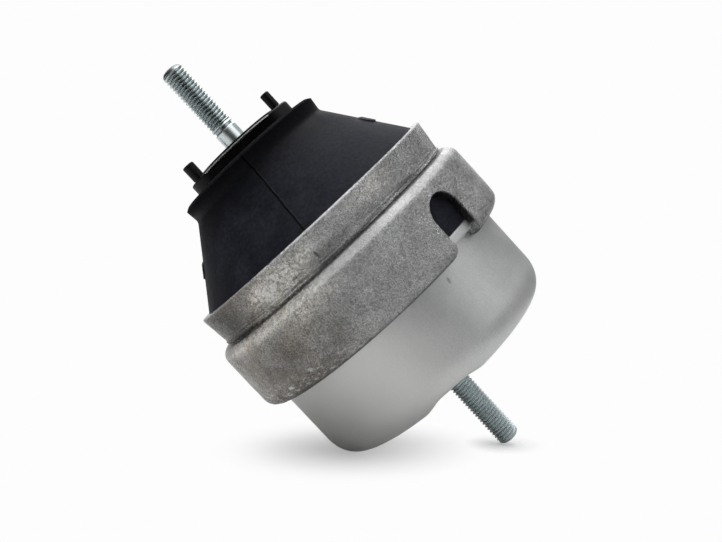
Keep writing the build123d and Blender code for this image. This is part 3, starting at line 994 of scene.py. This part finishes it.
def threadMesh(setup, foot, tip, finish):
    maker = bpy.data.objects.new("thread maker", bpy.data.meshes.new("thread maker"))
    scene.collection.objects.link(maker)
    modifier = maker.modifiers.new("thread", "NODES")
    modifier.node_group = threadNodes
    sizes = {**setup, "Length": abs(tip - foot) * mm, "Finish": finishes[finish]}
    for label, value in sizes.items():
        modifier[threadInputs[label]] = value
    ready = maker.evaluated_get(bpy.context.evaluated_depsgraph_get())
    mesh = bpy.data.meshes.new_from_object(ready)
    bpy.data.objects.remove(maker)
    if tip < foot:
        mesh.transform(Matrix.Rotation(math.pi, 4, "X"))
    mesh.transform(Matrix.Translation((0, 0, foot * mm)))
    return closeMesh(mesh)


# The plain part of each stud, from its head to inside the thread's foot: radius, height and rounding
upperSetup = {
    "name": "upper_thread_stud",
    "node": "upper_stud",
    "finish": "plated",
    "foot": 108.7,
    "tip": 134.0,
    "body": [
        (0, 55.6, 0), (6.5, 55.6, 0.8), (6.5, 60.2, 0), (4.4, 60.2, 0), (4.4, 97.3, 0), (4.0, 97.3, 0),
        (4.0, 107.5, 0.55), (3.4, 107.65, 0.2), (3.4, 109.1, 0), (0, 109.1, 0),
    ],
}
lowerSetup = {
    "name": "lower_thread_stud",
    "node": "lower_stud",
    "finish": "platedBlue",
    "foot": 0.3,
    "tip": -34.1,
    "body": [(0, 0.25, 0), (4.4, 0.25, 0), (4.4, 6.2, 0), (6.5, 6.2, 0), (6.5, 10.8, 0.8), (0, 10.8, 0)],
}


def makeStud(setup, columns=72, sharp=62):
    name, finish = setup["name"], setup["finish"]
    line = roundedLine(setup["body"], 3.0, closed=False)
    body = turnedMesh(name + " body", line, evenAngles(columns), closed=False)
    thread = threadMesh(threadSetup, setup["foot"], setup["tip"], finish)
    addPiece(name, joinMeshes(name, [body, thread]), finish, setup["node"], sharp=sharp)


makeStud(upperSetup)
makeStud(lowerSetup)

# Disc under the bracket: blanked, so its top edge is rounded and its lower edge is sharp
discSetup = {
    "section": [(4.0, 100.75, 0), (4.0, 101.7, 0.1), (16.0, 101.7, 0.22), (16.0, 100.75, 0)],
    "spacing": 0.9,
    "columns": 180,
}


def makeDisc(setup):
    line = roundedLine(setup["section"], setup["spacing"])
    addPiece("seat_disc", turnedMesh("disc", line, evenAngles(setup["columns"])), "coatedDisc", "top_disc")


makeDisc(discSetup)

# Nodes that keep their solid's mesh
carriedOver = {
    "coated": ("top_plate", "locating_pin_wide", "locating_pin_narrow"),
    "core": ("inner_core",),
    "steel": ("insert_ring", "rebound_washer", "backing_plate", "bellows_ring"),
    "rubber": ("bellows", "decoupler_membrane"),
    "plastic": ("track_plate_lower", "track_plate_upper"),
}
for finish, names in carriedOver.items():
    for name in names:
        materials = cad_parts[name].data.materials
        materials.clear()
        materials.append(finishes[finish])

# Floor: the plane that touches both the pot's corner and the lower stud's tip
floorSetup = {
    "radius": 450 * mm,
    "corners": 64,
    "leanBetween": (30, 55),  # degrees
    "halvings": 40,
    "colour": 0.72,
    # What the camera sees: white paper, with a light shadow that ends near where the mount touches it
    "seenColour": 0.60,
    "glow": 0.38,
    "white": 0.982,
    "shadowReach": {"pot": 27 * mm, "lower_stud": 9 * mm},
}


def lowestPoint(name, normal):
    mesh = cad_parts[name].data
    points = np.empty(len(mesh.vertices) * 3)
    mesh.vertices.foreach_get("co", points)
    points = points.reshape(-1, 3)
    return Vector(points[np.argmin(points @ np.array(normal))])


# Halves the range of the lean until both touch
def findRest(setup):
    flat, steep = [math.radians(lean) for lean in setup["leanBetween"]]
    for _ in range(setup["halvings"]):
        lean = (flat + steep) / 2
        normal = viewRight * math.sin(lean) + up * math.cos(lean)
        if lowestPoint("lower_stud", normal).dot(normal) < lowestPoint("pot", normal).dot(normal):
            flat = lean
        else:
            steep = lean
    return normal, lowestPoint("pot", normal).dot(normal), lean


restNormal, restLevel, restLean = findRest(floorSetup)
print("floor leans", round(math.degrees(restLean), 2), "degrees, at", round(restLevel / mm, 2), "mm")


def floorFinish(setup):
    material = bpy.data.materials.new("floor")
    material.use_nodes = True
    tree = material.node_tree
    nodes, links = tree.nodes, tree.links
    nodes.clear()
    out = nodes.new("ShaderNodeOutputMaterial")
    diffuse = nodes.new("ShaderNodeBsdfDiffuse")
    path = nodes.new("ShaderNodeLightPath")
    seen = calc(tree, "MAXIMUM", path.outputs["Is Camera Ray"], path.outputs["Is Transmission Ray"])
    links.new(blend(tree, seen, [setup["colour"]] * 3, [setup["seenColour"]] * 3), diffuse.inputs["Color"])
    glow = nodes.new("ShaderNodeEmission")
    links.new(product(tree, seen, setup["glow"]), glow.inputs["Strength"])
    shaded = nodes.new("ShaderNodeAddShader")
    links.new(diffuse.outputs[0], shaded.inputs[0])
    links.new(glow.outputs[0], shaded.inputs[1])
    # Plain white further off
    near = 0.0
    for name, reach in setup["shadowReach"].items():
        spot = patch(tree, lowestPoint(name, restNormal), [reach] * 3, edge=0.85)
        near = calc(tree, "MAXIMUM", near, spot)
    white = nodes.new("ShaderNodeEmission")
    white.inputs["Strength"].default_value = setup["white"]
    paper = nodes.new("ShaderNodeMixShader")
    links.new(product(tree, seen, opposite(tree, near)), paper.inputs["Fac"])
    links.new(shaded.outputs[0], paper.inputs[1])
    links.new(white.outputs[0], paper.inputs[2])
    # Nothing shows from below
    clear = nodes.new("ShaderNodeBsdfTransparent")
    side = nodes.new("ShaderNodeNewGeometry")
    mix = nodes.new("ShaderNodeMixShader")
    links.new(side.outputs["Backfacing"], mix.inputs["Fac"])
    links.new(paper.outputs[0], mix.inputs[1])
    links.new(clear.outputs[0], mix.inputs[2])
    links.new(mix.outputs[0], out.inputs["Surface"])
    return material


def makeFloor(setup):
    side = viewAway
    along = restNormal.cross(side)
    centre = restNormal * restLevel
    ring = [
        centre + (side * math.cos(turn) + along * math.sin(turn)) * setup["radius"]
        for turn in evenAngles(setup["corners"])
    ]
    mesh = bpy.data.meshes.new("floor")
    mesh.from_pydata(ring, [], [range(len(ring))])
    if mesh.polygons[0].normal.dot(restNormal) < 0:
        mesh.flip_normals()
    mesh.materials.append(floorFinish(setup))
    floor = bpy.data.objects.new("floor", mesh)
    scene.collection.objects.link(floor)


makeFloor(floorSetup)

# Light: a white studio that is dark where the camera stands, and one large soft lamp overhead
lightSetup = {
    # Strengths, and ranges over the part of a direction that points to the front or up
    "white": 0.982,
    "level": (0.15, 0.02, -0.1, 0.8),
    "above": 0.50,
    "aboveShare": (0, 1, 0.2, 0.8),
    "backdrop": (1, 0, -1.0, -0.80),
    # Strength, size in degrees, and how far up, to the front and to the right the lamp stands
    "overhead": (1.9, 50, (1.0, -0.10, -0.12)),
    "behind": (0.9, 60, (0.75, -0.80, -0.20)),
    "right": (0.45, 50, (0.60, 0.47, 0.65)),
}
floorRight = viewAway.cross(restNormal)


def directionAlong(tree, axis):
    coordinate = tree.nodes.new("ShaderNodeTexCoord")
    dot = tree.nodes.new("ShaderNodeVectorMath")
    dot.operation = "DOT_PRODUCT"
    dot.inputs[1].default_value = axis
    tree.links.new(coordinate.outputs["Generated"], dot.inputs[0])
    return dot.outputs["Value"]


def makeWorld(setup):
    world = bpy.data.worlds.new("studio")
    scene.world = world
    world.use_nodes = True
    tree = world.node_tree
    nodes, links = tree.nodes, tree.links
    nodes.clear()
    front = directionAlong(tree, -viewAway)
    height = directionAlong(tree, restNormal)
    level = spread(tree, front, *setup["level"])
    above = spread(tree, height, *setup["aboveShare"])
    level = mixNumbers(tree, above, level, setup["above"])
    path = nodes.new("ShaderNodeLightPath")
    seen = calc(tree, "MAXIMUM", path.outputs["Is Camera Ray"], path.outputs["Is Transmission Ray"])
    # Metal mirrors the white backdrop too, which stands behind the mount
    behind = spread(tree, front, *setup["backdrop"])
    seen = calc(tree, "MAXIMUM", seen, product(tree, path.outputs["Is Glossy Ray"], behind))
    level = mixNumbers(tree, seen, level, setup["white"])
    background = nodes.new("ShaderNodeBackground")
    background.inputs["Color"].default_value = (1, 1, 1, 1)
    links.new(level, background.inputs["Strength"])
    out = nodes.new("ShaderNodeOutputWorld")
    links.new(background.outputs[0], out.inputs["Surface"])


def softLamp(name, setup):
    strength, size, (upward, front, right) = setup
    lamp = bpy.data.lights.new(name, "SUN")
    lamp.energy = strength
    lamp.angle = math.radians(size)
    light = bpy.data.objects.new(name, lamp)
    light.rotation_mode = "QUATERNION"
    toward = restNormal * upward - viewAway * front + floorRight * right
    light.rotation_quaternion = toward.to_track_quat("Z", "Y")
    scene.collection.objects.link(light)


makeWorld(lightSetup)
for name in ("overhead", "behind", "right"):
    softLamp(name, lightSetup[name])
